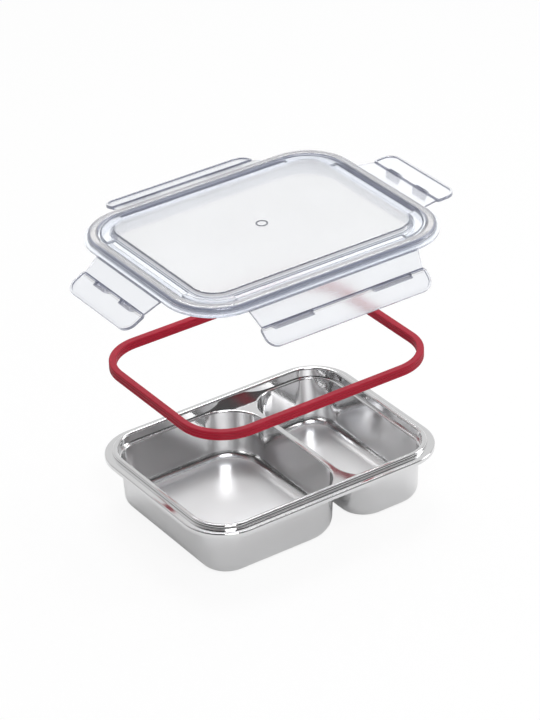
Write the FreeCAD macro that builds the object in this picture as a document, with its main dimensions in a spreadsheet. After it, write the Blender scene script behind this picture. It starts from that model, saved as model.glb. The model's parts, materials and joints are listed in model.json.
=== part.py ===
import FreeCAD
import Part
import Sketcher
import math
import os

# Two-compartment steel lunch box with a clear clip-on lid and a silicone sealing ring.
# It is drawn lifted apart: tray on the table, ring above it, lid on top with its flaps open.
# X runs along the length, Y along the width, Z up, and the origin is under the middle of the tray.

DRIVING_SIZES = [
    ("tray_length", 200, "length over the flange"),
    ("tray_width", 155, "width over the flange"),
    ("tray_corner", 33, "corner radius of the flange"),
    ("rim_height", 42, "table to the top of the flange"),
    ("sheet_thickness", 0.6, "steel sheet"),
    ("flange_width", 5.5, "flat part of the flange, outside the bead"),
    ("flange_radius", 1.2, "rounded outer edge of the flange"),
    ("hem_drop", 3, "turned-down edge of the flange"),
    ("bead_width", 3.75, "raised sealing bead"),
    ("bead_rise", 3, "top of the bead above the flange"),
    ("bead_radius", 1.6, "rounded shoulders of the bead"),
    ("ledge_drop", 4, "ledge and divider below the flange"),
    ("ledge_width", 2, "ledge between collar and compartments"),
    ("opening_radius", 1.4, "rounded edge of the compartments"),
    ("wall_draft_angle", 3, "draft of the compartment walls, degrees"),
    ("floor_radius", 9, "rounded edge of the compartment floor"),
    ("divider_offset", 22.5, "middle of the divider from the middle of the tray"),
    ("divider_width", 4.5, "saddle between the compartments"),
    ("large_divider_corner", 30, "corners beside the divider, large compartment"),
    ("small_divider_corner", 22, "corners beside the divider, small compartment"),
    ("ring_width", 5, "sealing ring, across"),
    ("ring_height", 6.5, "sealing ring, upright"),
    ("ring_radius", 0.8, "rounded edges of the ring"),
    ("ring_groove_depth", 0.4, "grooves along the sides of the ring"),
    ("ring_groove_width", 0.9, "the same grooves, across"),
    ("ring_overhang", 0.75, "ring beyond the outer side of the bead"),
    ("ring_ease", 5.75, "how much rounder the ring's corners are than the rim's"),
    ("ring_play", 0.4, "ring to the walls of its groove"),
    ("seal_gap", 0.1, "ring to the bead and to the roof of its groove"),
    ("ring_lift", 65, "ring above its seat, as drawn"),
    ("lid_wall", 1.5, "moulded wall of the lid"),
    ("lid_overhang", 5, "hinge line outside the edge of the flange"),
    ("hinge_height", 9, "hinge line above the flange"),
    ("hinge_radius", 0.75, "round bead along the hinge line"),
    ("hinge_gap", 0.25, "hinge bead to the lip"),
    ("lip_width", 2, "lip that carries the flaps"),
    ("lip_thickness", 1.4, "lip, upright"),
    ("crown_width", 6.6, "rounded channel inside the lip"),
    ("crown_rise", 2.9, "channel above the valley"),
    ("crown_radius", 3, "outer shoulder of the channel"),
    ("crown_slope", 2.2, "run of the channel's inner side"),
    ("valley_width", 7, "valley between channel and panel"),
    ("panel_rise", 4.4, "panel above the valley"),
    ("panel_slope", 2, "run of the step up to the panel"),
    ("panel_radius", 1.1, "rounded edge of the panel"),
    ("foot_radius", 0.8, "rounded foot of that step"),
    ("rib_wall", 1.2, "two ribs that hold the ring"),
    ("rib_clearance", 0.4, "outer rib above the bead"),
    ("plug_reach", 1.5, "inner rib below the top of the bead"),
    ("lug_rise", 2, "stacking lugs in the corners of the valley"),
    ("lug_play", 0.8, "lugs to the sides of the valley"),
    ("gate_width", 8.5, "moulding mark in the middle of the panel"),
    ("gate_line", 1.2, "width of its groove"),
    ("gate_depth", 0.7, "depth of its groove"),
    ("lid_lift", 158, "lid above its seat, as drawn"),
    ("flap_wall", 1.3, "moulded wall of the flaps"),
    ("catch_gap", 0.3, "catches below the turned-down edge"),
    ("catch_bite", 1.5, "catches under the flange"),
    ("catch_height", 4.2, "catch, upright"),
    ("catch_nose", 1, "blunt tip of the catch"),
    ("core_wall", 0.7, "wall round the hollow behind a catch"),
    ("core_depth", 0.9, "hollow behind a catch, beyond the wall of the flap"),
    ("core_radius", 1.2, "rounded corners of the hollow"),
    ("ridge_rise", 0.9, "thin rib between the catches"),
    ("border_width", 1.7, "raised border round the grip"),
    ("border_rise", 0.9, "border above the grip"),
    ("border_radius", 0.35, "rounded edges of the border"),
    ("grip_corner", 8.5, "lower corners of the grip"),
    ("ear_radius", 3, "upper corners of the grip"),
    ("front_hinge", 133, "front flap along the hinge"),
    ("front_waist", 126, "front flap at the catches"),
    ("front_grip", 130, "front flap over the ears"),
    ("front_grip_length", 11.4, "front flap below the catches"),
    ("front_flare_angle", 4, "grip leaning out, front flap, degrees"),
    ("front_catch", 30, "catch length, front flap"),
    ("front_catch_spread", 78, "catch to catch, front flap"),
    ("back_hinge", 120, "back flap along the hinge"),
    ("back_waist", 112, "back flap at the catches"),
    ("back_grip", 115, "back flap over the ears"),
    ("back_grip_length", 10.4, "back flap below the catches"),
    ("back_flare_angle", 4, "grip leaning out, back flap, degrees"),
    ("back_catch", 28, "catch length, back flap"),
    ("back_catch_spread", 67, "catch to catch, back flap"),
    ("short_hinge", 76, "short flaps along the hinge"),
    ("short_waist", 69, "short flaps at the catches"),
    ("short_grip", 73, "short flaps over the ears"),
    ("short_grip_length", 12.9, "short flaps below the catches"),
    ("short_flare_angle", 4, "grip leaning out, short flaps, degrees"),
    ("short_catch", 13, "catch length, short flaps"),
    ("short_catch_spread", 30, "catch to catch, short flaps"),
    ("front_open_angle", 45, "front flap open, degrees from locked"),
    ("right_open_angle", 88, "right flap open, degrees from locked"),
    ("back_open_angle", 73, "back flap open, degrees from locked"),
    ("left_open_angle", 58, "left flap open, degrees from locked"),
]

doc = FreeCAD.newDocument("LunchBox")
sizes = doc.addObject("Spreadsheet::Sheet", "Sizes")
for row, (alias, value, meaning) in enumerate(DRIVING_SIZES, start=1):
    sizes.set(f"A{row}", meaning)
    sizes.set(f"B{row}", str(value))
    sizes.setAlias(f"B{row}", alias)
doc.recompute()

# Heights that several pieces share, with the lid closed on the tray.
FLANGE_TOP = "Sizes.rim_height"
BEAD_TOP = "(Sizes.rim_height + Sizes.bead_rise)"
LEDGE_TOP = "(Sizes.rim_height - Sizes.ledge_drop)"
RING_BOTTOM = f"({BEAD_TOP} + Sizes.seal_gap)"
GROOVE_ROOF = f"({RING_BOTTOM} + Sizes.ring_height + Sizes.seal_gap)"
VALLEY_TOP = f"({GROOVE_ROOF} + Sizes.lid_wall)"
CROWN_TOP = f"({VALLEY_TOP} + Sizes.crown_rise)"
PANEL_TOP = f"({VALLEY_TOP} + Sizes.panel_rise)"
HINGE_LEVEL = "(Sizes.rim_height + Sizes.hinge_height)"

# Distances inwards from the edge of the flange that several pieces share.
COLLAR_INSET = "(Sizes.flange_width + Sizes.bead_width)"
OPENING_INSET = f"({COLLAR_INSET} + Sizes.ledge_width)"
RING_INSET = "(Sizes.flange_width - Sizes.ring_overhang)"
RING_CORNER = f"(Sizes.tray_corner - {RING_INSET} + Sizes.ring_ease)"
LIP_EDGE = "(Sizes.hinge_radius + Sizes.hinge_gap - Sizes.lid_overhang)"
CROWN_OUTSIDE = f"({LIP_EDGE} + Sizes.lip_width)"
CROWN_INSIDE = f"({CROWN_OUTSIDE} + Sizes.crown_width)"
VALLEY_START = f"({CROWN_INSIDE} + Sizes.crown_slope)"
VALLEY_END = f"({VALLEY_START} + Sizes.valley_width)"
PANEL_EDGE = f"({VALLEY_END} + Sizes.panel_slope)"

NO_RADIUS = ""
TOLERANCE = 1e-4


def measure(expression):
    """The number that an expression in the sheet's sizes stands for."""
    return float(sizes.evalExpression(expression))


def new_body(label):
    """An empty body whose label names the piece."""
    body = doc.addObject("PartDesign::Body", label)
    body.Label = label
    return body


def new_sketch(body, name, role, height=None):
    """A sketch on one of the body's own origin planes, moved along the plane's normal by height."""
    plane = next(feature for feature in body.Origin.OriginFeatures if feature.Role == role)
    sketch = body.newObject("Sketcher::SketchObject", name)
    sketch.AttachmentSupport = [(plane, "")]
    sketch.MapMode = "FlatFace"
    if height is not None:
        sketch.setExpression("AttachmentOffset.Base.z", height)
    return sketch


def bind_constraint(sketch, constraint, expression):
    """Add a measured constraint and tie it to an expression."""
    index = sketch.addConstraint(constraint)
    sketch.setExpression(f"Constraints[{index}]", expression)


def pin_point(sketch, element, end, x, y):
    """Tie a point of a sketch to the coordinates that two expressions give."""
    for direction, axis, expression in (("DistanceX", -2, x), ("DistanceY", -1, y)):
        value = measure(expression)
        if abs(value) < TOLERANCE:
            sketch.addConstraint(Sketcher.Constraint("PointOnObject", element, end, axis))
        elif value > 0:
            distance = Sketcher.Constraint(direction, -1, 1, element, end, value)
            bind_constraint(sketch, distance, expression)
        else:
            distance = Sketcher.Constraint(direction, element, end, -1, 1, -value)
            bind_constraint(sketch, distance, f"-({expression})")


def towards(start, end):
    """The unit vector from one point to another."""
    return (end - start) * (1 / (end - start).Length)


def corner_arc(last, point, following, radius):
    """Tangent points and arc that round a corner, and whether the outline turns left there."""
    back = towards(point, last)
    onward = towards(point, following)
    half_angle = back.getAngle(onward) / 2
    reach = radius / math.tan(half_angle)
    centre = point + towards(FreeCAD.Vector(), back + onward) * (radius / math.sin(half_angle))
    before = point + back * reach
    after = point + onward * reach
    turns_left = onward.cross(back).z > 0
    first, second = (before, after) if turns_left else (after, before)
    start_angle = math.atan2(first.y - centre.y, first.x - centre.x)
    end_angle = math.atan2(second.y - centre.y, second.x - centre.x)
    if end_angle < start_angle:
        end_angle += 2 * math.pi
    circle = Part.Circle(centre, FreeCAD.Vector(0, 0, 1), radius)
    return before, after, Part.ArcOfCircle(circle, start_angle, end_angle), turns_left


def draw_outline(sketch, corners):
    """Draw a closed outline. Each corner is x, y and radius, all expressions."""
    points = [FreeCAD.Vector(measure(x), measure(y), 0) for x, y, radius in corners]
    count = len(corners)
    rounded = {}
    for index, (x, y, radius) in enumerate(corners):
        if radius != NO_RADIUS:
            following = points[(index + 1) % count]
            rounded[index] = corner_arc(points[index - 1], points[index], following, measure(radius))

    lines = []
    arcs = {}
    for index in range(count):
        following = (index + 1) % count
        start = rounded[index][1] if index in rounded else points[index]
        end = rounded[following][0] if following in rounded else points[following]
        lines.append(sketch.addGeometry(Part.LineSegment(start, end), False))
        if following in rounded:
            arcs[following] = sketch.addGeometry(rounded[following][2], False)

    for index, (x, y, radius) in enumerate(corners):
        arriving, leaving = lines[index - 1], lines[index]
        if index not in rounded:
            sketch.addConstraint(Sketcher.Constraint("Coincident", arriving, 2, leaving, 1))
            pin_point(sketch, leaving, 1, x, y)
            continue
        arc = arcs[index]
        entry, exit_end = (1, 2) if rounded[index][3] else (2, 1)
        sketch.addConstraint(Sketcher.Constraint("Tangent", arriving, 2, arc, entry))
        sketch.addConstraint(Sketcher.Constraint("Tangent", arc, exit_end, leaving, 1))
        bind_constraint(sketch, Sketcher.Constraint("Radius", arc, measure(radius)), radius)
        corner = sketch.addGeometry(Part.Point(points[index]), True)
        pin_point(sketch, corner, 1, x, y)
        sketch.addConstraint(Sketcher.Constraint("PointOnObject", corner, 1, arriving))
        sketch.addConstraint(Sketcher.Constraint("PointOnObject", corner, 1, leaving))


def half_length(inset):
    """Half the length of an outline that lies inset from the edge of the flange."""
    return f"(Sizes.tray_length / 2 - ({inset}))"


def half_width(inset):
    """Half the width of an outline that lies inset from the edge of the flange."""
    return f"(Sizes.tray_width / 2 - ({inset}))"


def draw_frame(sketch, inset, radius):
    """Draw a rounded rectangle that lies inset from the edge of the flange."""
    x = half_length(inset)
    y = half_width(inset)
    draw_outline(sketch, [
        (x, "0", NO_RADIUS),
        (x, y, radius),
        (f"-{x}", y, radius),
        (f"-{x}", f"-{y}", radius),
        (x, f"-{y}", radius),
    ])


def pad(body, name, sketch, length, downwards=False, both_ways=False, draft=None):
    """Pad a sketch, with its taper bound to draft where one is given."""
    feature = body.newObject("PartDesign::Pad", name)
    feature.Profile = sketch
    feature.setExpression("Length", length)
    feature.Reversed = downwards
    feature.Midplane = both_ways
    if draft is not None:
        feature.setExpression("TaperAngle", draft)


def pocket(body, name, sketch, depth, draft=None):
    """Cut a sketch down into the body, and make sure that it took material away."""
    doc.recompute()
    volume_before = body.Shape.Volume
    feature = body.newObject("PartDesign::Pocket", name)
    feature.Profile = sketch
    feature.setExpression("Length", depth)
    if draft is not None:
        feature.setExpression("TaperAngle", draft)
    doc.recompute()
    if body.Shape.Volume > volume_before - TOLERANCE:
        raise RuntimeError(f"{name} cuts nothing")


def sweep(body, name, profile, path):
    """Sweep a profile round a closed path that starts in the profile's plane."""
    doc.recompute()
    feature = body.newObject("PartDesign::AdditivePipe", name)
    feature.Profile = profile
    feature.Spine = (path, [f"Edge{number}" for number in range(1, len(path.Shape.Edges) + 1)])


def round_edges(body, name, radius, wanted):
    """Fillet the edges of the body so far that the test picks."""
    doc.recompute()
    base = body.Tip
    edges = [f"Edge{number}" for number, edge in enumerate(base.Shape.Edges, start=1) if wanted(edge)]
    feature = body.newObject("PartDesign::Fillet", name)
    feature.Base = (base, edges)
    feature.setExpression("Radius", radius)


def lies_level(edge, height):
    """Whether an edge lies flat at a height."""
    box = edge.BoundBox
    return abs(box.ZMin - height) < TOLERANCE and abs(box.ZMax - height) < TOLERANCE


# Tray: one sheet of steel, drawn into two compartments, with a collar, a bead and a hemmed flange.
tray = new_body("tray")


def draw_compartment(sketch, side, wall):
    """Outline of a compartment at the ledge, wall outside its inner face, seen from the divider."""
    sketch.setExpression("AttachmentOffset.Base.x", "Sizes.divider_offset")
    near = f"(Sizes.divider_width / 2 - ({wall}))"
    far = f"({half_length(OPENING_INSET)} - ({side} * Sizes.divider_offset) + {wall})"
    y = f"({half_width(OPENING_INSET)} + {wall})"
    outer_corner = f"(Sizes.tray_corner - {OPENING_INSET} + {wall})"
    divider_corner = "Sizes.small_divider_corner" if side > 0 else "Sizes.large_divider_corner"
    inner_corner = f"({divider_corner} + {wall})"
    draw_outline(sketch, [
        (f"{side} * {far}", f"-{y}", outer_corner),
        (f"{side} * {far}", y, outer_corner),
        (f"{side} * {near}", y, inner_corner),
        (f"{side} * {near}", f"-{y}", inner_corner),
    ])


ledge_sketch = new_sketch(tray, "LedgeOutline", "XY_Plane", LEDGE_TOP)
COLLAR_MIDDLE = f"({COLLAR_INSET} - Sizes.sheet_thickness / 2)"
draw_frame(ledge_sketch, COLLAR_MIDDLE, f"(Sizes.tray_corner - {COLLAR_MIDDLE})")
pad(tray, "Ledge", ledge_sketch, "Sizes.sheet_thickness", downwards=True)

COMPARTMENTS = {"Large": -1, "Small": 1}
for title, side in COMPARTMENTS.items():
    outside = new_sketch(tray, f"{title}Outside", "XY_Plane", LEDGE_TOP)
    draw_compartment(outside, side, "Sizes.sheet_thickness")
    pad(tray, f"{title}Tub", outside, LEDGE_TOP, downwards=True, draft="-Sizes.wall_draft_angle")


def inside_collar(edge):
    """Whether an edge lies well inside the collar, as the compartments' edges do."""
    box = edge.BoundBox
    limit = f"({COLLAR_INSET} + Sizes.ledge_width / 4)"
    reach_x = max(abs(box.XMin), abs(box.XMax))
    reach_y = max(abs(box.YMin), abs(box.YMax))
    return reach_x < measure(half_length(limit)) and reach_y < measure(half_width(limit))


OPENING_RADIUS = "min(Sizes.opening_radius; 0.4 * Sizes.divider_width)"
LEDGE_UNDERSIDE = f"({LEDGE_TOP} - Sizes.sheet_thickness)"
round_edges(tray, "ShoulderUnderside", f"({OPENING_RADIUS}) - Sizes.sheet_thickness",
            lambda edge: lies_level(edge, measure(LEDGE_UNDERSIDE)) and inside_collar(edge))
for title, side in COMPARTMENTS.items():
    inside = new_sketch(tray, f"{title}Inside", "XY_Plane", LEDGE_TOP)
    draw_compartment(inside, side, "0")
    pocket(tray, f"{title}Cavity", inside, LEDGE_UNDERSIDE, draft="-Sizes.wall_draft_angle")
round_edges(tray, "FloorInside", "Sizes.floor_radius - Sizes.sheet_thickness",
            lambda edge: lies_level(edge, measure("Sizes.sheet_thickness")))
round_edges(tray, "FloorOutside", "Sizes.floor_radius", lambda edge: lies_level(edge, 0))
round_edges(tray, "Shoulder", OPENING_RADIUS,
            lambda edge: lies_level(edge, measure(LEDGE_TOP)) and inside_collar(edge))

rim_path = new_sketch(tray, "RimPath", "XY_Plane")
draw_frame(rim_path, "0", "Sizes.tray_corner")
rim_profile = new_sketch(tray, "RimProfile", "XZ_Plane")
FLANGE_UNDERSIDE = "(Sizes.rim_height - Sizes.sheet_thickness)"
BEAD_UNDERSIDE = f"({BEAD_TOP} - Sizes.sheet_thickness)"
HEM_END = "(Sizes.rim_height - Sizes.hem_drop)"
INNER_BEAD_RADIUS = "(Sizes.bead_radius - Sizes.sheet_thickness)"
draw_outline(rim_profile, [
    (half_length("0"), HEM_END, NO_RADIUS),
    (half_length("0"), FLANGE_TOP, "Sizes.flange_radius"),
    (half_length("Sizes.flange_width"), FLANGE_TOP, INNER_BEAD_RADIUS),
    (half_length("Sizes.flange_width"), BEAD_TOP, "Sizes.bead_radius"),
    (half_length(COLLAR_INSET), BEAD_TOP, "Sizes.bead_radius"),
    (half_length(COLLAR_INSET), LEDGE_UNDERSIDE, NO_RADIUS),
    (half_length(f"{COLLAR_INSET} - Sizes.sheet_thickness"), LEDGE_UNDERSIDE, NO_RADIUS),
    (half_length(f"{COLLAR_INSET} - Sizes.sheet_thickness"), BEAD_UNDERSIDE, INNER_BEAD_RADIUS),
    (half_length("Sizes.flange_width + Sizes.sheet_thickness"), BEAD_UNDERSIDE, INNER_BEAD_RADIUS),
    (half_length("Sizes.flange_width + Sizes.sheet_thickness"), FLANGE_UNDERSIDE, NO_RADIUS),
    (half_length("Sizes.sheet_thickness"), FLANGE_UNDERSIDE, "Sizes.flange_radius - Sizes.sheet_thickness"),
    (half_length("Sizes.sheet_thickness"), HEM_END, NO_RADIUS),
])
sweep(tray, "Rim", rim_profile, rim_path)

# Sealing ring: one silicone moulding, a little rounder at the corners than the bead it sits on.
ring = new_body("sealing_ring")
ring_path = new_sketch(ring, "RingPath", "XY_Plane")
draw_frame(ring_path, RING_INSET, RING_CORNER)
ring_profile = new_sketch(ring, "RingProfile", "XZ_Plane")
RING_TOP = f"({RING_BOTTOM} + Sizes.ring_height)"
RING_INSIDE = f"({RING_INSET} + Sizes.ring_width)"


def ring_groove(inset, depth, share, upwards):
    """Corners of a groove in a side of the ring, at a share of its height."""
    level = f"({RING_BOTTOM} + Sizes.ring_height * {share})"
    half = f"{upwards} * Sizes.ring_groove_width / 2"
    return [
        (half_length(inset), f"{level} - {half}", NO_RADIUS),
        (half_length(f"{inset} + {depth}"), level, NO_RADIUS),
        (half_length(inset), f"{level} + {half}", NO_RADIUS),
    ]


GROOVE_SHARES = ("1 / 3", "2 / 3")
ring_outside = [corner for share in GROOVE_SHARES
                for corner in ring_groove(RING_INSET, "Sizes.ring_groove_depth", share, 1)]
ring_inside = [corner for share in reversed(GROOVE_SHARES)
               for corner in ring_groove(RING_INSIDE, "-Sizes.ring_groove_depth", share, -1)]
draw_outline(ring_profile, [
    (half_length(RING_INSET), RING_BOTTOM, "Sizes.ring_radius"),
    *ring_outside,
    (half_length(RING_INSET), RING_TOP, "Sizes.ring_radius"),
    (half_length(RING_INSIDE), RING_TOP, "Sizes.ring_radius"),
    *ring_inside,
    (half_length(RING_INSIDE), RING_BOTTOM, "Sizes.ring_radius"),
])
sweep(ring, "RingBand", ring_profile, ring_path)
ring.setExpression("Placement.Base.z", "Sizes.ring_lift")

# Lid: one clear moulding. Panel, step, valley, rounded channel and lip are a single wall.
lid = new_body("lid_panel")
lid_path = new_sketch(lid, "LidPath", "XY_Plane")
draw_frame(lid_path, "0", "Sizes.tray_corner")
lid_profile = new_sketch(lid, "LidProfile", "XZ_Plane")
LIP_TOP = f"({HINGE_LEVEL} + Sizes.lip_thickness / 2)"
LIP_BOTTOM = f"({HINGE_LEVEL} - Sizes.lip_thickness / 2)"
CROWN_UNDERSIDE = f"({CROWN_TOP} - Sizes.lid_wall)"
PANEL_UNDERSIDE = f"({PANEL_TOP} - Sizes.lid_wall)"
PANEL_JOIN = f"({PANEL_EDGE} + 2 * Sizes.lid_wall)"
draw_outline(lid_profile, [
    (half_length(LIP_EDGE), LIP_BOTTOM, NO_RADIUS),
    (half_length(LIP_EDGE), LIP_TOP, NO_RADIUS),
    (half_length(CROWN_OUTSIDE), LIP_TOP, NO_RADIUS),
    (half_length(CROWN_OUTSIDE), CROWN_TOP, "Sizes.crown_radius"),
    (half_length(CROWN_INSIDE), CROWN_TOP, "Sizes.crown_slope"),
    (half_length(VALLEY_START), VALLEY_TOP, "Sizes.crown_slope"),
    (half_length(VALLEY_END), VALLEY_TOP, "Sizes.foot_radius"),
    (half_length(PANEL_EDGE), PANEL_TOP, "Sizes.panel_radius"),
    (half_length(PANEL_JOIN), PANEL_TOP, NO_RADIUS),
    (half_length(PANEL_JOIN), PANEL_UNDERSIDE, NO_RADIUS),
    (half_length(f"{PANEL_EDGE} + Sizes.lid_wall"), PANEL_UNDERSIDE, NO_RADIUS),
    (half_length(f"{VALLEY_END} + Sizes.lid_wall"), GROOVE_ROOF, NO_RADIUS),
    (half_length(f"{CROWN_INSIDE} + Sizes.crown_slope / 2"), GROOVE_ROOF, NO_RADIUS),
    (half_length(f"{CROWN_INSIDE} - Sizes.crown_slope / 2"), CROWN_UNDERSIDE, NO_RADIUS),
    (half_length(f"{CROWN_OUTSIDE} + Sizes.lid_wall"), CROWN_UNDERSIDE,
     "Sizes.crown_radius - Sizes.lid_wall"),
    (half_length(f"{CROWN_OUTSIDE} + Sizes.lid_wall"), LIP_BOTTOM, NO_RADIUS),
])
sweep(lid, "LidRim", lid_profile, lid_path)

panel_sketch = new_sketch(lid, "PanelOutline", "XY_Plane", PANEL_TOP)
PANEL_OVERLAP = f"({PANEL_EDGE} + Sizes.lid_wall * 1.5)"
draw_frame(panel_sketch, PANEL_OVERLAP, f"(Sizes.tray_corner - {PANEL_OVERLAP})")
pad(lid, "Panel", panel_sketch, "Sizes.lid_wall", downwards=True)


def add_ring_rib(name, inset, corner, bottom, roof):
    """A rib beside the ring, rooted half a wall deep in the roof above; inset is its outer side."""
    sketch = new_sketch(lid, f"{name}Outline", "XY_Plane", bottom)
    draw_frame(sketch, inset, corner)
    draw_frame(sketch, f"{inset} + Sizes.rib_wall", f"({corner} - Sizes.rib_wall)")
    pad(lid, name, sketch, f"{roof} + Sizes.lid_wall / 2 - {bottom}")


OUTER_RIB = f"({RING_INSET} - Sizes.ring_play - Sizes.rib_wall)"
add_ring_rib("OuterRib", OUTER_RIB, f"({RING_CORNER} + Sizes.ring_play + Sizes.rib_wall)",
             f"({BEAD_TOP} + Sizes.rib_clearance)", CROWN_UNDERSIDE)
INNER_RIB = f"({RING_INSIDE} + Sizes.ring_play)"
add_ring_rib("InnerRib", INNER_RIB, f"({RING_CORNER} - Sizes.ring_width - Sizes.ring_play)",
             f"({BEAD_TOP} - Sizes.plug_reach)", GROOVE_ROOF)

lug_sketch = new_sketch(lid, "CornerLugOutline", "XY_Plane", f"{VALLEY_TOP} - Sizes.lid_wall / 2")
LUG_OUTSIDE = f"(Sizes.tray_corner - {VALLEY_START} - Sizes.lug_play)"
LUG_INSIDE = f"(Sizes.tray_corner - {VALLEY_END} + Sizes.lug_play)"


def draw_lug(sketch, side_x, side_y):
    """A quarter ring round one corner of the lid."""
    centre_x = f"{side_x} * {half_length('Sizes.tray_corner')}"
    centre_y = f"{side_y} * {half_width('Sizes.tray_corner')}"
    centre = FreeCAD.Vector(measure(centre_x), measure(centre_y), 0)
    start_angle = math.atan2(side_y, side_x) - math.pi / 4
    arcs = []
    for radius in (LUG_OUTSIDE, LUG_INSIDE):
        circle = Part.Circle(centre, FreeCAD.Vector(0, 0, 1), measure(radius))
        arc = sketch.addGeometry(Part.ArcOfCircle(circle, start_angle, start_angle + math.pi / 2), False)
        arcs.append(arc)
        bind_constraint(sketch, Sketcher.Constraint("Radius", arc, measure(radius)), radius)
    outer, inner = arcs
    pin_point(sketch, outer, 3, centre_x, centre_y)
    sketch.addConstraint(Sketcher.Constraint("Coincident", outer, 3, inner, 3))
    for end in (1, 2):
        joint = Part.LineSegment(sketch.getPoint(outer, end), sketch.getPoint(inner, end))
        line = sketch.addGeometry(joint, False)
        sketch.addConstraint(Sketcher.Constraint("Coincident", line, 1, outer, end))
        sketch.addConstraint(Sketcher.Constraint("Coincident", line, 2, inner, end))
        lies_along = "Horizontal" if abs(joint.StartPoint.y - joint.EndPoint.y) < TOLERANCE else "Vertical"
        sketch.addConstraint(Sketcher.Constraint(lies_along, outer, end, outer, 3))
        sketch.addConstraint(Sketcher.Constraint(lies_along, inner, end, inner, 3))


for side_x in (-1, 1):
    for side_y in (-1, 1):
        draw_lug(lug_sketch, side_x, side_y)
pad(lid, "CornerLugs", lug_sketch, "Sizes.lid_wall / 2 + Sizes.lug_rise")

gate_sketch = new_sketch(lid, "GateMark", "XY_Plane", PANEL_TOP)
for diameter in ("Sizes.gate_width", "Sizes.gate_width - 2 * Sizes.gate_line"):
    radius = f"({diameter}) / 2"
    circle = Part.Circle(FreeCAD.Vector(), FreeCAD.Vector(0, 0, 1), measure(radius))
    mark = gate_sketch.addGeometry(circle, False)
    gate_sketch.addConstraint(Sketcher.Constraint("Coincident", mark, 3, -1, 1))
    bind_constraint(gate_sketch, Sketcher.Constraint("Radius", mark, measure(radius)), radius)
pocket(lid, "GateGroove", gate_sketch, "Sizes.gate_depth")
lid.setExpression("Placement.Base.z", "Sizes.lid_lift")

# Flaps: four clips on film hinges, each modelled hanging straight down from its hinge line,
# with Y towards the tray, then turned to its side of the lid and opened.
CATCH_TOP = "(Sizes.hinge_height + Sizes.hem_drop + Sizes.catch_gap)"
CATCH_BOTTOM = f"({CATCH_TOP} + Sizes.catch_height)"
CATCH_REACH = "(Sizes.lid_overhang + Sizes.catch_bite)"
RIDGE_LEVEL = f"({CATCH_TOP} + Sizes.catch_height / 2)"


def draw_grip(sketch, kind, inset):
    """Outline of a grip, inset from its edge; its sketch starts at the ridge and points down."""
    x = f"(Sizes.{kind}_grip / 2 - ({inset}))"
    top = f"(Sizes.catch_height / 2 - ({inset}))"
    bottom = f"-(Sizes.{kind}_grip_length + Sizes.catch_height / 2 - ({inset}))"
    ear = f"(Sizes.ear_radius - ({inset}))"
    corner = f"(Sizes.grip_corner - ({inset}))"
    draw_outline(sketch, [
        (f"-{x}", bottom, corner),
        (x, bottom, corner),
        (x, top, ear),
        (f"-{x}", top, ear),
    ])


CORE_CORNER = "min(Sizes.core_radius; 0.9 * (Sizes.catch_height / 2 - Sizes.core_wall))"
CORE_START = "(Sizes.flap_wall / 2 + 2 * Sizes.border_rise)"
CORE_CUT = f"{CORE_START} + Sizes.flap_wall / 2 + Sizes.core_depth"


def draw_core(sketch, kind, side):
    """Outline of the hollow behind one catch, which keeps the moulding from sinking there."""
    middle = f"{side} * Sizes.{kind}_catch_spread / 2"
    x = f"(Sizes.{kind}_catch / 2 - Sizes.core_wall)"
    top = f"-({CATCH_TOP} + Sizes.core_wall)"
    bottom = f"-({CATCH_BOTTOM} - Sizes.core_wall)"
    draw_outline(sketch, [
        (f"{middle} - {x}", bottom, CORE_CORNER),
        (f"{middle} + {x}", bottom, CORE_CORNER),
        (f"{middle} + {x}", top, CORE_CORNER),
        (f"{middle} - {x}", top, CORE_CORNER),
    ])


def lies_in_plane(edge, sketch_place, distance):
    """Whether an edge lies in the plane at a distance in front of a sketch."""
    flattened = edge.copy()
    flattened.transformShape(sketch_place.inverse().toMatrix())
    return lies_level(flattened, distance)


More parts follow.
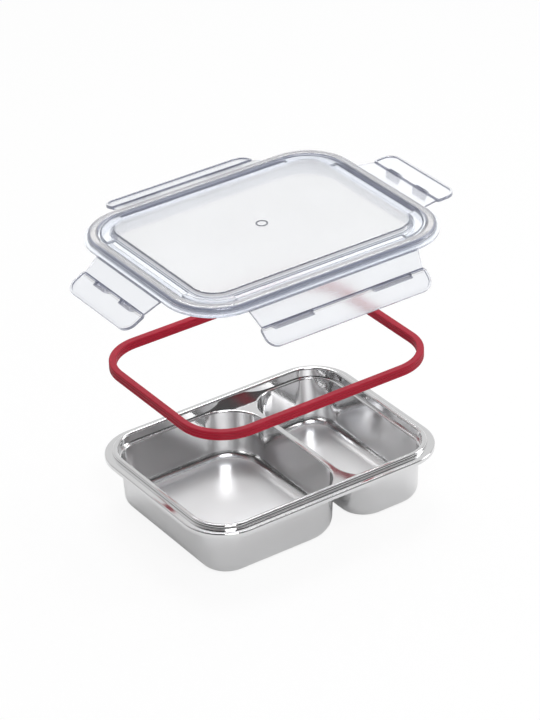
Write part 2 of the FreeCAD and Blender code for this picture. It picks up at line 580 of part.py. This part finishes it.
def add_flap(label, kind, facing, hinge_x, hinge_y, opened):
    """A clip flap: hinge bead, upper panel, ridge with two hollow catches, and a bordered grip."""
    flap = new_body(label)
    bead_sketch = new_sketch(flap, f"{label}_bead", "YZ_Plane")
    circle = Part.Circle(FreeCAD.Vector(), FreeCAD.Vector(0, 0, 1), measure("Sizes.hinge_radius"))
    bead = bead_sketch.addGeometry(circle, False)
    bead_sketch.addConstraint(Sketcher.Constraint("Coincident", bead, 3, -1, 1))
    bead_radius = Sketcher.Constraint("Radius", bead, measure("Sizes.hinge_radius"))
    bind_constraint(bead_sketch, bead_radius, "Sizes.hinge_radius")
    pad(flap, f"{label}_hinge_bead", bead_sketch, f"Sizes.{kind}_hinge", both_ways=True)

    upper_sketch = new_sketch(flap, f"{label}_upper", "XZ_Plane")
    draw_outline(upper_sketch, [
        (f"-Sizes.{kind}_hinge / 2", "0", NO_RADIUS),
        (f"-Sizes.{kind}_waist / 2", f"-{RIDGE_LEVEL}", NO_RADIUS),
        (f"Sizes.{kind}_waist / 2", f"-{RIDGE_LEVEL}", NO_RADIUS),
        (f"Sizes.{kind}_hinge / 2", "0", NO_RADIUS),
    ])
    pad(flap, f"{label}_upper_panel", upper_sketch, "Sizes.flap_wall", both_ways=True)

    grip_sketch = new_sketch(flap, f"{label}_grip", "XZ_Plane")
    draw_grip(grip_sketch, kind, "0")
    border_sketch = new_sketch(flap, f"{label}_border", "XZ_Plane")
    draw_grip(border_sketch, kind, "0")
    draw_grip(border_sketch, kind, "Sizes.border_width")
    for sketch in (grip_sketch, border_sketch):
        sketch.setExpression("AttachmentOffset.Base.y", f"-{RIDGE_LEVEL}")
        sketch.AttachmentOffset.Rotation.Axis = FreeCAD.Vector(1, 0, 0)
        sketch.setExpression("AttachmentOffset.Rotation.Angle", f"-Sizes.{kind}_flare_angle")
    pad(flap, f"{label}_grip_panel", grip_sketch, "Sizes.flap_wall", both_ways=True)
    pad(flap, f"{label}_grip_border", border_sketch, "Sizes.flap_wall / 2 + Sizes.border_rise")
    doc.recompute()
    crest = measure("Sizes.flap_wall / 2 + Sizes.border_rise")
    round_edges(flap, f"{label}_border_edges", "Sizes.border_radius",
                lambda edge: lies_in_plane(edge, border_sketch.Placement, crest))

    ridge_sketch = new_sketch(flap, f"{label}_ridge", "YZ_Plane")
    draw_outline(ridge_sketch, [
        ("0", f"-({RIDGE_LEVEL} - Sizes.ridge_rise)", NO_RADIUS),
        ("Sizes.flap_wall / 2 + Sizes.ridge_rise", f"-({RIDGE_LEVEL} - Sizes.ridge_rise / 2)", NO_RADIUS),
        ("Sizes.flap_wall / 2 + Sizes.ridge_rise", f"-({RIDGE_LEVEL} + Sizes.ridge_rise / 2)", NO_RADIUS),
        ("0", f"-({RIDGE_LEVEL} + Sizes.ridge_rise)", NO_RADIUS),
    ])
    pad(flap, f"{label}_ridge_rib", ridge_sketch, f"Sizes.{kind}_waist", both_ways=True)

    for hand, side in (("left", -1), ("right", 1)):
        place = f"{side} * Sizes.{kind}_catch_spread / 2"
        catch_sketch = new_sketch(flap, f"{label}_{hand}_catch", "YZ_Plane", place)
        draw_outline(catch_sketch, [
            ("0", f"-{CATCH_TOP}", NO_RADIUS),
            (CATCH_REACH, f"-{CATCH_TOP}", NO_RADIUS),
            (CATCH_REACH, f"-({CATCH_TOP} + Sizes.catch_nose)", NO_RADIUS),
            ("Sizes.flap_wall", f"-{CATCH_BOTTOM}", NO_RADIUS),
            ("0", f"-{CATCH_BOTTOM}", NO_RADIUS),
        ])
        pad(flap, f"{label}_{hand}_catch_bar", catch_sketch, f"Sizes.{kind}_catch", both_ways=True)

    core_sketch = new_sketch(flap, f"{label}_cores", "XZ_Plane", CORE_START)
    for side in (-1, 1):
        draw_core(core_sketch, kind, side)
    pocket(flap, f"{label}_catch_cores", core_sketch, CORE_CUT)

    base = f"vector({hinge_x}; {hinge_y}; {HINGE_LEVEL} + Sizes.lid_lift)"
    turned = f"rotation(vector(0; 0; 1); {facing})"
    swung = f"rotation(vector(1; 0; 0); -{opened})"
    flap.setExpression("Placement", f"placement({base}; {turned} * {swung})")
    return flap


HINGE_X = half_length("-Sizes.lid_overhang")
HINGE_Y = half_width("-Sizes.lid_overhang")
flaps = [
    add_flap("flap_front", "front", 0, "0", f"-{HINGE_Y}", "Sizes.front_open_angle"),
    add_flap("flap_right", "short", 90, HINGE_X, "0", "Sizes.right_open_angle"),
    add_flap("flap_back", "back", 180, "0", HINGE_Y, "Sizes.back_open_angle"),
    add_flap("flap_left", "short", 270, f"-{HINGE_X}", "0", "Sizes.left_open_angle"),
]

# Check the whole document, then write one file for each piece.
doc.recompute()
for item in doc.Objects:
    if "Invalid" in item.State or "Error" in item.State:
        raise RuntimeError(f"{item.Label} failed: {item.State}")
pieces = [tray, ring, lid] + flaps
for piece in pieces:
    if piece.Shape.isNull() or not piece.Shape.isValid() or len(piece.Shape.Solids) != 1:
        raise RuntimeError(f"{piece.Label} is not one sound solid")
os.makedirs("parts", exist_ok=True)
for piece in pieces:
    piece.Shape.exportStep(f"parts/{piece.Label}.step")
    print(f"{piece.Label}: {piece.Shape.Volume / 1000:.1f} cubic centimetres")
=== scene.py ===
# Lunch box, lifted apart as in the photograph: steel tray, silicone ring, clear lid with clip flaps.
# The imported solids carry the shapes. This file gives them their finishes, adds the film hinges
# that join the flaps to the lid, and sets up the studio.
import json
import math

import bmesh
import bpy
from mathutils import Matrix, Vector


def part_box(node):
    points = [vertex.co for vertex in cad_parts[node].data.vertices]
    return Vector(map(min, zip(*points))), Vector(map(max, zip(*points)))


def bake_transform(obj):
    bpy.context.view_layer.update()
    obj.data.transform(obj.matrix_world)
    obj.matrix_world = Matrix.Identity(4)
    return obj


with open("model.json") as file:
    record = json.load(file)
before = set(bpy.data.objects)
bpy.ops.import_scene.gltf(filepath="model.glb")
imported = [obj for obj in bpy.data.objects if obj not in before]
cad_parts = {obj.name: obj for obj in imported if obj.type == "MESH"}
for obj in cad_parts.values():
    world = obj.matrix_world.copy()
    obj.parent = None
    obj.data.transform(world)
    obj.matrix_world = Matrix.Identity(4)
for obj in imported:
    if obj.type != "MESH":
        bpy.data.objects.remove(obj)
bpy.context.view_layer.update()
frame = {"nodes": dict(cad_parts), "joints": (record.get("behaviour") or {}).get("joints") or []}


# Tray: one stainless sheet, deep drawn into two compartments, with a bead and a hemmed flange.
# The floors keep the sheet's satin skin. The walls are burnished by the die, with faint upright
# streaks where the sheet slid over it, and the rim is polished by the curling rolls.
STEEL_TONES = ((0.68, 0.68, 0.685, 1.0), (0.75, 0.75, 0.755, 1.0))
BLOTCH_SCALE = 14.0
STREAK_SCALE = (420.0, 420.0, 24.0)
RIM_HEIGHT = 0.042
WALL_TO_RIM_ROUGHNESS = (0.19, 0.07)
FLOOR_SKIN_HEIGHTS = (0.0008, 0.0045)
FLOOR_TO_WALL_ROUGHNESS = (0.40, 0.0)
STREAK_ROUGHNESS = 0.03
STREAK_STRENGTH = 0.004
MARK_DEPTH = 0.0002


def new_finish(name):
    """A new material, its node tree, and the Principled shader that stands in it."""
    material = bpy.data.materials.new(name)
    material.use_nodes = True
    tree = material.node_tree
    tree.nodes.clear()
    return material, tree, tree.nodes.new("ShaderNodeBsdfPrincipled")


def feed(tree, node, inputs):
    """Gives a node's inputs plain values, or joins them to the sockets that drive them."""
    for key, source in inputs.items():
        if isinstance(source, bpy.types.NodeSocket):
            tree.links.new(source, node.inputs[key])
        else:
            node.inputs[key].default_value = source


def add_node(tree, kind, inputs=None, **settings):
    """A new node with its settings, and with its inputs fed."""
    node = tree.nodes.new(kind)
    for name, value in settings.items():
        setattr(node, name, value)
    feed(tree, node, inputs or {})
    return node


def work_out(tree, operation, *terms):
    """The result of one step of arithmetic on sockets and plain numbers."""
    node = add_node(tree, "ShaderNodeMath", dict(enumerate(terms)), operation=operation)
    return node.outputs["Value"]


def between(tree, source, ends, span=(0.0, 1.0), pace="LINEAR"):
    """A value that goes from one end to the other as source crosses a span."""
    inputs = {"Value": source, "From Min": span[0], "From Max": span[1],
              "To Min": ends[0], "To Max": ends[1]}
    return add_node(tree, "ShaderNodeMapRange", inputs, interpolation_type=pace).outputs["Result"]


def two_tone(tree, source, first, second):
    """A colour that goes from first to second as source goes from 0 to 1."""
    inputs = {"Factor": source, "A": first, "B": second}
    return add_node(tree, "ShaderNodeMix", inputs, data_type="RGBA").outputs["Result"]


def raised(tree, height, strength):
    """The normal of a surface with fine marks on it."""
    inputs = {"Height": height, "Strength": strength, "Distance": MARK_DEPTH}
    return add_node(tree, "ShaderNodeBump", inputs).outputs["Normal"]


def new_effect(name, inputs, outputs):
    """An effect for several materials: a node group, the sockets that come in, and its last node."""
    group = bpy.data.node_groups.new(name, "ShaderNodeTree")
    for way, sockets in (("INPUT", inputs), ("OUTPUT", outputs)):
        for socket, kind in sockets.items():
            group.interface.new_socket(socket, in_out=way, socket_type=f"NodeSocket{kind}")
    return group, group.nodes.new("NodeGroupInput").outputs, group.nodes.new("NodeGroupOutput")


def place_effect(tree, effect, inputs):
    """What a shared effect gives in a material that feeds it its own values."""
    return add_node(tree, "ShaderNodeGroup", inputs, node_tree=effect).outputs


def make_surface_marks():
    """Shared effect: broad changes of gloss, and fine marks, both on Object coordinates."""
    group, entry, result = new_effect(
        "surface_marks",
        {"Broad Scale": "Float", "Fine Scale": "Vector"},
        {"Broad": "Float", "Fine": "Float"})
    place = group.nodes.new("ShaderNodeTexCoord").outputs["Object"]
    broad = add_node(group, "ShaderNodeTexNoise", {
        "Vector": place, "Scale": entry["Broad Scale"], "Detail": 2.0, "Roughness": 0.5})
    stretched = add_node(group, "ShaderNodeVectorMath", {0: place, 1: entry["Fine Scale"]},
                         operation="MULTIPLY")
    fine = add_node(group, "ShaderNodeTexNoise", {
        "Vector": stretched.outputs["Vector"], "Scale": 1.0, "Detail": 3.0, "Roughness": 0.6})
    feed(group, result, {"Broad": broad.outputs["Fac"], "Fine": fine.outputs["Fac"]})
    return group


surface_marks = make_surface_marks()

steel, tree, shader = new_finish("satin_steel")
marks = place_effect(tree, surface_marks, {"Broad Scale": BLOTCH_SCALE, "Fine Scale": STREAK_SCALE})
place = tree.nodes.new("ShaderNodeTexCoord").outputs["Object"]
height = add_node(tree, "ShaderNodeSeparateXYZ", {"Vector": place}).outputs["Z"]
burnished = between(tree, height, WALL_TO_RIM_ROUGHNESS, (0.0, RIM_HEIGHT))
satin = between(tree, height, FLOOR_TO_WALL_ROUGHNESS, FLOOR_SKIN_HEIGHTS)
skin = work_out(tree, "MAXIMUM", burnished, satin)
feed(tree, shader, {
    "Base Color": two_tone(tree, marks["Broad"], *STEEL_TONES),
    "Metallic": 1.0,
    "Roughness": work_out(tree, "MULTIPLY_ADD", marks["Fine"], STREAK_ROUGHNESS, skin),
    "Normal": raised(tree, marks["Fine"], STREAK_STRENGTH),
})
add_node(tree, "ShaderNodeOutputMaterial", {"Surface": shader.outputs["BSDF"]})
frame["nodes"]["tray"].material_slots[0].material = steel


# Sealing ring: one soft silicone moulding with two grooves along each side, pressed into the lid.
# Deep red right through, with a satin skin, a little dust-dull and paler where it has been handled.
SILICONE_TONES = ((0.30, 0.005, 0.019, 1.0), (0.38, 0.008, 0.029, 1.0))
HANDLING_SCALE = 45.0
DUST_SCALE = (900.0, 900.0, 900.0)
DUST_STRENGTH = 0.06
SILICONE_ROUGHNESS = (0.42, 0.62)
SILICONE_IOR = 1.42
SILICONE_SHINE = 0.3

silicone, tree, shader = new_finish("red_silicone")
marks = place_effect(tree, surface_marks, {"Broad Scale": HANDLING_SCALE, "Fine Scale": DUST_SCALE})
feed(tree, shader, {
    "Base Color": two_tone(tree, marks["Broad"], *SILICONE_TONES),
    "Roughness": between(tree, marks["Fine"], SILICONE_ROUGHNESS),
    "Normal": raised(tree, marks["Fine"], DUST_STRENGTH),
    "IOR": SILICONE_IOR,
    "Specular IOR Level": SILICONE_SHINE,
})
add_node(tree, "ShaderNodeOutputMaterial", {"Surface": shader.outputs["BSDF"]})
frame["nodes"]["sealing_ring"].material_slots[0].material = silicone


# Lid: one clear moulding with a raised panel, a valley, and a rounded channel that holds the ring.
# The plastic is faintly milky in the flats. Steps and edges get a painted blue-grey shade, darkest
# in painted lines along the panel's step, and the panel's slopes get a painted highlight.
PANEL_TINT = (0.895, 0.92, 0.955, 1.0)
CROWN_TINT = (0.62, 0.60, 0.585, 1.0)
# The edge and line tones are painted shade: blue-grey on edges, near black along the panel's step.
EDGE_PAINTED_SHADE = (0.38, 0.395, 0.47, 1.0)
LINE_PAINTED_SHADE = (0.13, 0.14, 0.18, 1.0)
LID_TONES_AND_SHADES = (PANEL_TINT, CROWN_TINT, EDGE_PAINTED_SHADE, LINE_PAINTED_SHADE)
# Skirt paleness lessens the painted edge shade on faces that stand square to the lid's wall.
SKIRT_PALENESS = 0.58
# Squareness is 1 on a face that lies in its wall, and 0 on one that stands across it.
SIDEWAYS_SQUARENESS = (0.33, 0.37)
# Paleness 0 gives the painted edge shade; the band near 0.4 is a painted highlight on the panel's slopes.
PALENESS_BY_SQUARENESS = ((0.0, 0.0), (0.33, 0.0), (0.39, 0.80), (0.44, 0.80), (0.50, 0.0), (0.86, 0.0),
                          (0.97, 1.0))
# Heights of the panel over the valley, of the crown's greyer band and of the painted dark lines, from the
# one or the other.
PANEL_RISE = 0.0044
CROWN_BELOW_PANEL = (0.0019, 0.0011)
LINE_BELOW_PANEL = (0.0009, 0.00006)
LINE_ABOVE_VALLEY = (0.00006, 0.0006)
CLOUD_SCALE = 20.0
GRAIN_SCALE = (500.0, 500.0, 500.0)
GRAIN_STRENGTH = 0.01
PLASTIC_ROUGHNESS = (0.10, 0.20)
PLASTIC_IOR = 1.49
PLASTIC_CLEARNESS = 0.8
LAMPLIGHT_TINT = (0.93, 0.94, 0.95, 1.0)
UP = (0.0, 0.0, 1.0)


def reach_along(tree, vector, direction):
    """How far a vector reaches along a direction."""
    node = add_node(tree, "ShaderNodeVectorMath", {0: vector, 1: direction}, operation="DOT_PRODUCT")
    return node.outputs["Value"]


def follow_stops(tree, source, stops):
    """A level that follows source through a row of stops, each a place from 0 to 1 and its level."""
    node = add_node(tree, "ShaderNodeValToRGB", {"Fac": source})
    steps = node.color_ramp.elements
    for index, (position, level) in enumerate(stops):
        step = steps[index] if index < len(steps) else steps.new(position)
        step.position = position
        step.color = (level, level, level, 1.0)
    return node.outputs["Color"]


def make_thick_band():
    """Shared effect: a mask between two places along a direction, where the moulding is thick."""
    group, entry, result = new_effect(
        "thick_band", {"Along": "Vector", "From": "Float", "To": "Float"}, {"Mask": "Float"})
    place = group.nodes.new("ShaderNodeTexCoord").outputs["Object"]
    distance = reach_along(group, place, entry["Along"])
    past = work_out(group, "GREATER_THAN", distance, entry["From"])
    before = work_out(group, "LESS_THAN", distance, entry["To"])
    feed(group, result, {"Mask": work_out(group, "MULTIPLY", past, before)})
    return group


def make_tint_with_painted_shade():
    """Shared effect: the plastic's colour with painted light and shade. It is palest where the surface
    lies squarely in its wall, greyer where the mask says thick, with a painted blue-grey shade on edges,
    a painted highlight on slopes, and painted dark lines along sharp edges. Side Paleness lessens the
    painted edge shade on the faces that stand square to the wall."""
    group, entry, result = new_effect("tint_with_painted_shade", {
        "Wall Facing": "Vector", "Thick Mask": "Float", "Line Mask": "Float", "Side Paleness": "Float",
        "Flat": "Color", "Thick": "Color", "Edge": "Color", "Line": "Color"}, {"Tint": "Color"})
    normal = group.nodes.new("ShaderNodeTexCoord").outputs["Normal"]
    squareness = work_out(group, "ABSOLUTE", reach_along(group, normal, entry["Wall Facing"]))
    sideways = between(group, squareness, (1.0, 0.0), SIDEWAYS_SQUARENESS)
    side = work_out(group, "MULTIPLY", sideways, entry["Side Paleness"])
    # Painted highlight on the slopes and painted shade on edges, set by how the face turns.
    squarely = follow_stops(group, squareness, PALENESS_BY_SQUARENESS)
    paleness = work_out(group, "MAXIMUM", squarely, side)
    wall = two_tone(group, entry["Thick Mask"], entry["Flat"], entry["Thick"])
    edged = two_tone(group, paleness, entry["Edge"], wall)
    feed(group, result, {"Tint": two_tone(group, entry["Line Mask"], edged, entry["Line"])})
    return group


thick_band = make_thick_band()
tint_with_painted_shade = make_tint_with_painted_shade()


def band_mask(tree, direction, start, end):
    """The mask of one band across a moulding."""
    return place_effect(tree, thick_band, {"Along": direction, "From": start, "To": end})["Mask"]


def either(tree, mask, first, second):
    """The first shader where the mask is 0, and the second where it is 1."""
    return add_node(tree, "ShaderNodeMixShader", {0: mask, 1: first, 2: second}).outputs["Shader"]


def clear_plastic(name, tones_and_shades, side_paleness, wall_facing, thick, lines):
    """Clear moulded plastic, whose wall mostly faces one way. Tones are flat, thick, painted edge shade
    and painted line shade. Thick, and each of lines, is a direction and two places along it; lines get
    painted dark lines. Lamps shine through the plastic, so that it doesn't darken what is under it."""
    material, tree, shader = new_finish(name)
    # Painted dark lines go where any of the line bands is set.
    line_mask = 0.0
    for line in lines:
        line_mask = work_out(tree, "MAXIMUM", line_mask, band_mask(tree, *line))
    tint = place_effect(tree, tint_with_painted_shade, {
        "Wall Facing": wall_facing, "Thick Mask": band_mask(tree, *thick), "Line Mask": line_mask,
        "Side Paleness": side_paleness, **dict(zip(("Flat", "Thick", "Edge", "Line"), tones_and_shades))})
    marks = place_effect(tree, surface_marks, {"Broad Scale": CLOUD_SCALE, "Fine Scale": GRAIN_SCALE})
    feed(tree, shader, {
        "Base Color": tint["Tint"],
        "Roughness": between(tree, marks["Broad"], PLASTIC_ROUGHNESS),
        "Normal": raised(tree, marks["Fine"], GRAIN_STRENGTH),
        "IOR": PLASTIC_IOR,
        "Transmission Weight": PLASTIC_CLEARNESS,
    })
    rays = tree.nodes.new("ShaderNodeLightPath").outputs
    lamplight = add_node(tree, "ShaderNodeBsdfTransparent", {"Color": LAMPLIGHT_TINT})
    surface = either(tree, rays["Is Shadow Ray"], shader.outputs["BSDF"], lamplight.outputs["BSDF"])
    add_node(tree, "ShaderNodeOutputMaterial", {"Surface": surface})
    return material


panel_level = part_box("lid_panel")[1][2]
valley_level = panel_level - PANEL_RISE
crown_band = (UP, *(panel_level - drop for drop in CROWN_BELOW_PANEL))
# Painted dark lines along the panel's step, at its top and at its foot.
panel_lines = ((UP, *(panel_level - drop for drop in LINE_BELOW_PANEL)),
               (UP, *(valley_level + rise for rise in LINE_ABOVE_VALLEY)))
lid_plastic = clear_plastic("clear_lid", LID_TONES_AND_SHADES, SKIRT_PALENESS, UP, crown_band, panel_lines)
frame["nodes"]["lid_panel"].material_slots[0].material = lid_plastic


# Flaps and film hinges: four clips of the same plastic, joined to the lip by strips that are
# moulded so thin that they bend. Each strip runs from just inside the lip to the middle of the hinge bead.
HINGE_LENGTHS = {"flap_front": 0.131, "flap_right": 0.074, "flap_back": 0.118, "flap_left": 0.074}
STRIP_REACH = 0.0013
STRIP_THICKNESS = 0.0004
STRIP_STEPS = 4
FLAP_TINT = (0.90, 0.912, 0.938, 1.0)
CATCH_TINT = (0.80, 0.785, 0.775, 1.0)
# The flap's edge tone is painted shade, on its edges and in a painted dark line along the ridge.
FLAP_EDGE_PAINTED_SHADE = (0.19, 0.20, 0.27, 1.0)
FLAP_TONES_AND_SHADES = (FLAP_TINT, CATCH_TINT, FLAP_EDGE_PAINTED_SHADE, FLAP_EDGE_PAINTED_SHADE)
FLAP_SIDE_PALENESS = 0.05
# Distances from the hinge: of the catches, square to the flap, and of the ridge's painted dark line, down
# the flap.
CATCH_DEPTHS = (0.0012, 0.0080)
RIDGE_LINE = (0.0122, 0.0133)
DOWN = Vector((0.0, 0.0, -1.0))


def made_mesh(name, shape):
    """The mesh of a finished bmesh, which is freed."""
    mesh = bpy.data.meshes.new(name)
    shape.to_mesh(mesh)
    shape.free()
    return mesh


def put_in_scene(name, data):
    """A new object in the scene, with this mesh, lamp or lens in it."""
    holder = bpy.data.objects.new(name, data)
    bpy.context.scene.collection.objects.link(holder)
    return holder


def film_hinge(name, hinge, axis, outward, length):
    """A thin strip from just inside the lip to the middle of the hinge bead."""
    film = bmesh.new()
    lip_side = hinge - outward * STRIP_REACH
    ends = [film.verts.new(lip_side + axis * (side * length / 2)) for side in (-1, 1)]
    rail = [film.edges.new(ends)]
    for step in range(STRIP_STEPS):
        moved = bmesh.ops.extrude_edge_only(film, edges=rail)["geom"]
        corners = [item for item in moved if isinstance(item, bmesh.types.BMVert)]
        bmesh.ops.translate(film, verts=corners, vec=outward * (STRIP_REACH / STRIP_STEPS))
        rail = [item for item in moved if isinstance(item, bmesh.types.BMEdge)
                and all(corner in corners for corner in item.verts)]
    bmesh.ops.recalc_face_normals(film, faces=film.faces)
    bmesh.ops.solidify(film, geom=film.faces[:], thickness=STRIP_THICKNESS)
    bmesh.ops.recalc_face_normals(film, faces=film.faces)
    return put_in_scene(name, made_mesh(name, film))


for joint in frame["joints"]:
    flap = joint["child"]
    if flap not in HINGE_LENGTHS:
        continue
    axis = Vector(joint["axis"])
    hinge = Vector(joint["pos_m"])
    opened = math.radians(-joint["range_deg"][0])
    hanging = Matrix.Rotation(opened, 3, axis) @ DOWN
    wall_facing = axis.cross(hanging)
    inward = -wall_facing
    catches = (inward, *(hinge.dot(inward) + depth for depth in CATCH_DEPTHS))
    # The ridge gets a painted dark line.
    ridge = (hanging, *(hinge.dot(hanging) + distance for distance in RIDGE_LINE))
    plastic = clear_plastic(f"clear_{flap}", FLAP_TONES_AND_SHADES, FLAP_SIDE_PALENESS, wall_facing, catches, (ridge,))
    frame["nodes"][flap].material_slots[0].material = plastic

    outward = axis.cross(DOWN)
    strip_name = flap.replace("flap", "film_hinge")
    strip = film_hinge(strip_name, hinge, axis, outward, HINGE_LENGTHS[flap])
    strip.data.materials.append(plastic)
    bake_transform(strip)


# Studio floor: a sheet of pale seamless paper, which takes the object's shadow.
# It is nearly plain white to the camera and through the clear plastic. The steel mirrors more of
# the paper as the lamps light it, and less of the white, so that its walls keep their shape.
FLOOR_SIZE = 6.0
FLOOR_DROP = 0.0005
PAPER_TONE = (0.90, 0.90, 0.90, 1.0)
PAPER_ROUGHNESS = 0.9
WHITE = (1.0, 1.0, 1.0, 1.0)
WHITE_SHARES = {"Is Camera Ray": 0.90, "Is Glossy Ray": 0.12, "Is Transmission Ray": 0.85}

sheet = bmesh.new()
bmesh.ops.create_grid(sheet, x_segments=2, y_segments=2, size=FLOOR_SIZE)
floor = put_in_scene("studio_floor", made_mesh("studio_floor", sheet))
floor.location.z = -FLOOR_DROP

paper, tree, shader = new_finish("seamless_paper")
feed(tree, shader, {"Base Color": PAPER_TONE, "Roughness": PAPER_ROUGHNESS})
rays = tree.nodes.new("ShaderNodeLightPath").outputs
whiteness = 0.0
for ray, share in WHITE_SHARES.items():
    whiteness = work_out(tree, "MAXIMUM", whiteness, work_out(tree, "MULTIPLY", rays[ray], share))
glow = add_node(tree, "ShaderNodeEmission", {"Color": WHITE, "Strength": 1.0})
surface = either(tree, whiteness, shader.outputs["BSDF"], glow.outputs["Emission"])
add_node(tree, "ShaderNodeOutputMaterial", {"Surface": surface})
floor.data.materials.append(paper)


# Studio light: a dome that glows on its far side and is dim at the front, and three softboxes.
# A white backdrop rises a little way all round, beyond the edge of the floor.
FAR_SIDE = (0.45, 0.68, 0.55)
FAR_SIDE_SPAN = (-0.2, 0.95)
NEAR_TO_FAR_GLOW = (0.04, 0.84)
BACKDROP_TOP = (0.11, 0.20)

scene = bpy.context.scene
scene.view_settings.view_transform = "Standard"
world = bpy.data.worlds.new("studio")
world.use_nodes = True
scene.world = world
tree = world.node_tree
tree.nodes.clear()
direction = tree.nodes.new("ShaderNodeTexCoord").outputs["Generated"]
rise = add_node(tree, "ShaderNodeSeparateXYZ", {"Vector": direction}).outputs["Z"]
far_reach = reach_along(tree, direction, FAR_SIDE)
far_glow = between(tree, far_reach, NEAR_TO_FAR_GLOW, FAR_SIDE_SPAN, "SMOOTHSTEP")
backdrop = between(tree, rise, (1.0, 0.0), BACKDROP_TOP, "SMOOTHSTEP")
dome = work_out(tree, "MAXIMUM", far_glow, backdrop)
background = add_node(tree, "ShaderNodeBackground", {"Color": dome})
add_node(tree, "ShaderNodeOutputWorld", {"Surface": background.outputs["Background"]})


def softbox(name, place, target, width, height, power):
    """A rectangular lamp that faces its target."""
    lamp = bpy.data.lights.new(name, "AREA")
    lamp.shape = "RECTANGLE"
    lamp.size = width
    lamp.size_y = height
    lamp.energy = power
    stand = put_in_scene(name, lamp)
    stand.location = place
    stand.rotation_euler = (Vector(target) - Vector(place)).to_track_quat("-Z", "Y").to_euler()


softbox("key_softbox", place=(-0.35, -1.0, 1.25), target=(0.0, 0.0, 0.08), width=0.6, height=0.6, power=10.0)
softbox("back_softbox", place=(0.40, 0.62, 1.25), target=(0.0, 0.0, 0.08), width=0.7, height=0.5, power=6.5)
softbox("side_softbox", place=(1.2, -0.5, 0.6), target=(0.0, 0.0, 0.10), width=0.4, height=0.8, power=4.0)


# Camera: a long lens from the photograph's corner of the table, rolled a little as it is there.
# Angles, distance and focal length come from a fit to the tray's rim and base. The camera stands
# beside the line through its aim, so that the object lies in the frame as in the photograph.
AZIMUTH = math.radians(-33.63)
ELEVATION = math.radians(30.6)
ROLL = math.radians(-2.01)
DISTANCE = 2.230
AIM = Vector((0.0, 0.0, 0.042))
OFF_AXIS = (-0.00018, -0.05909)
FOCAL_PIXELS = 3250.0
PHOTO_HEIGHT = 720.0
SENSOR_WIDTH = 36.0

backward = Vector((math.sin(AZIMUTH) * math.cos(ELEVATION), -math.cos(AZIMUTH) * math.cos(ELEVATION),
                   math.sin(ELEVATION)))
level = Vector((math.cos(AZIMUTH), math.sin(AZIMUTH), 0.0))
upright = backward.cross(level)
rightward = level * math.cos(ROLL) + upright * math.sin(ROLL)
upward = upright * math.cos(ROLL) - level * math.sin(ROLL)
lens = bpy.data.cameras.new("photo_camera")
lens.sensor_width = SENSOR_WIDTH
lens.lens = FOCAL_PIXELS / PHOTO_HEIGHT * SENSOR_WIDTH
camera = put_in_scene("photo_camera", lens)
stand = AIM + backward * DISTANCE - rightward * OFF_AXIS[0] - upward * OFF_AXIS[1]
facing = Matrix((rightward, upward, backward)).transposed().to_4x4()
camera.matrix_world = Matrix.Translation(stand) @ facing
scene.camera = camera
